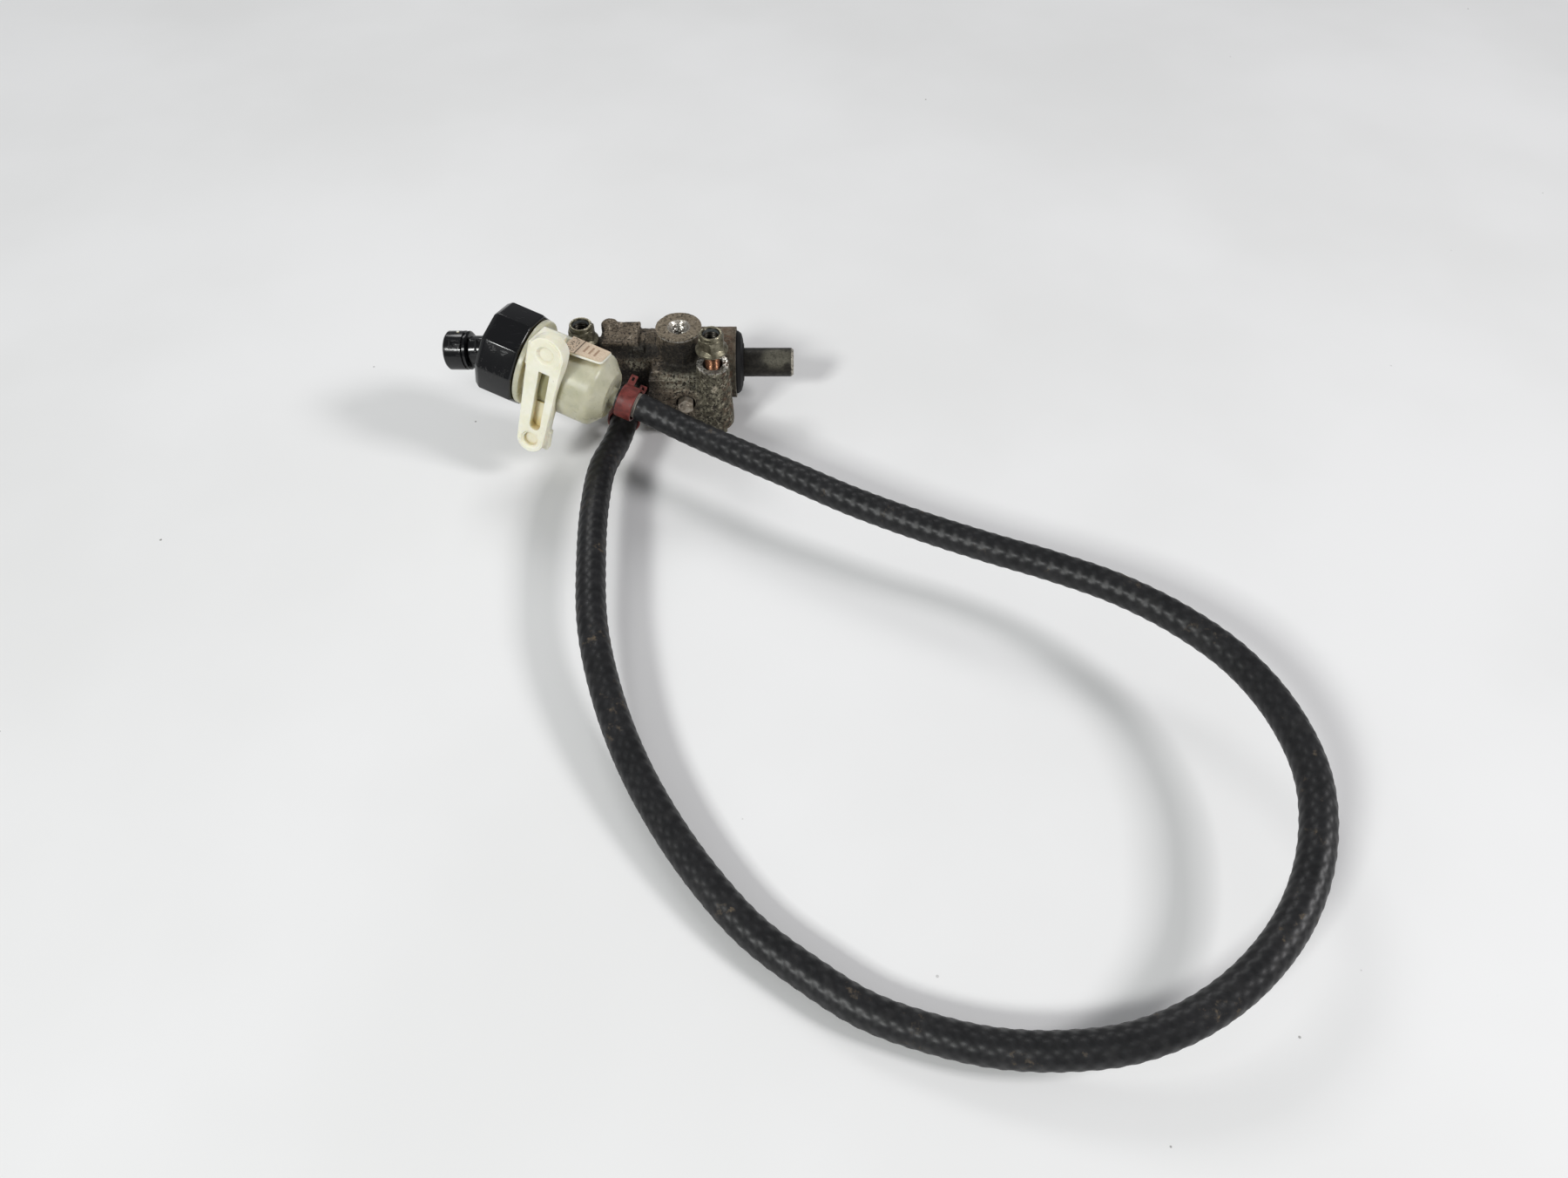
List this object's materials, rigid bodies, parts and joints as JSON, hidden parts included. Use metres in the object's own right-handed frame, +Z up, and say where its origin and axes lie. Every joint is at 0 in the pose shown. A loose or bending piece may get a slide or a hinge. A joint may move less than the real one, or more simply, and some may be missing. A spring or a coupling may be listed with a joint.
{
  "type": "brake master cylinder",
  "caption": "Rear brake master cylinder: cast body with push rod and return spring, two mounting bolts, feed hose loop, and tilted fluid reservoir with screw cap, level sensor and bracket.",
  "frame": {"origin": "centre of the right-hand mounting bolt's head, on the surface the part stands on", "axes": "+X along the cylinder bore towards the push rod's free end, +Z up, out of the outlet port, so +Y points away from the hose loop"},
  "size_m": [0.3975, 0.4018, 0.0889],
  "materials": {
    "cast_alloy": "rough cast, stained and pitted",
    "bright_steel": "satin",
    "dark_steel": "dark, worn",
    "black_rubber": "matte",
    "olive_zinc": "yellow-olive zinc plating, satin",
    "nut_nylon": "matte",
    "plug_steel": "satin",
    "black_plastic": "glossy moulded",
    "hose_rubber": "embossed braid, dusty",
    "red_coat": "satin coating",
    "milky_nylon": "translucent, milky",
    "cream_nylon": "satin",
    "label_paper": "matte printed film",
    "piston_alloy": "machined",
    "brass": "satin",
    "orange_seal": "matte",
    "float_foam": "matte"
  },
  "bodies": {
    "cylinder": {"cylinder_body": "cast_alloy", "stop_washer": "bright_steel", "snap_ring": "dark_steel", "rod_boot": "black_rubber", "return_spring": "bright_steel", "bolt_left": "olive_zinc", "nut_left": "olive_zinc", "nut_insert_left": "nut_nylon", "bolt_right": "olive_zinc", "hex_plug": "plug_steel", "plug_washer": "black_rubber", "inlet_grommet": "black_rubber", "inlet_fitting": "black_plastic", "inlet_pin": "bright_steel", "feed_hose": "hose_rubber", "outlet_clamp": "red_coat", "inlet_clamp": "red_coat", "reservoir_bottle": "milky_nylon", "cap_seal": "black_rubber", "reservoir_bracket": "cream_nylon", "label_tab": "cream_nylon", "label": "label_paper"},
    "plunger": {"push_rod": "dark_steel", "piston": "piston_alloy", "primary_cup": "black_rubber", "secondary_cup": "black_rubber", "spring_seat": "bright_steel"},
    "sensor": {"level_sensor": "black_plastic", "terminal_upper": "brass", "terminal_lower": "brass", "socket_seal": "orange_seal", "float_stop": "bright_steel"},
    "cap": {"cap_ring": "black_plastic"},
    "float": {"level_float": "float_foam"},
    "nut_carrier": {"nut_insert_right": "nut_nylon"},
    "right_nut": {"nut_right": "olive_zinc"}
  },
  "joints": [
    {"name": "piston_stroke", "type": "slide", "parent": "cylinder", "child": "plunger", "axis": [-1, 0, 0], "range_m": [0, 0.014], "stiffness_N_per_m": 900, "springref_m": -0.015, "deforming": ["return_spring"]},
    {"name": "cap_lift", "type": "slide", "parent": "cylinder", "child": "sensor", "axis": [-0.9165, 0.3272, 0.2301], "range_m": [0, 0.0081]},
    {"name": "cap_turn", "type": "hinge", "parent": "sensor", "child": "cap", "pos_m": [-0.1038, -0.0086, 0.06], "axis": [-0.9165, 0.3272, 0.2301], "range_deg": [0, 720]},
    {"name": "float_slide", "type": "slide", "parent": "sensor", "child": "float", "axis": [-0.9165, 0.3272, 0.2301], "range_m": [0, 0.025]},
    {"name": "nut_travel", "type": "slide", "parent": "cylinder", "child": "nut_carrier", "axis": [0, 0, -1], "range_m": [0, 0.0088]},
    {"name": "nut_turn", "type": "hinge", "parent": "nut_carrier", "child": "right_nut", "pos_m": [0, 0, 0.0608], "axis": [0, 0, -1], "range_deg": [0, 2520]}
  ],
  "couplings": [
    {"joint": "cap_lift", "follows": "cap_turn", "m_per_rad": 0.00063662},
    {"joint": "nut_travel", "follows": "nut_turn", "m_per_rad": 0.00019894}
  ]
}
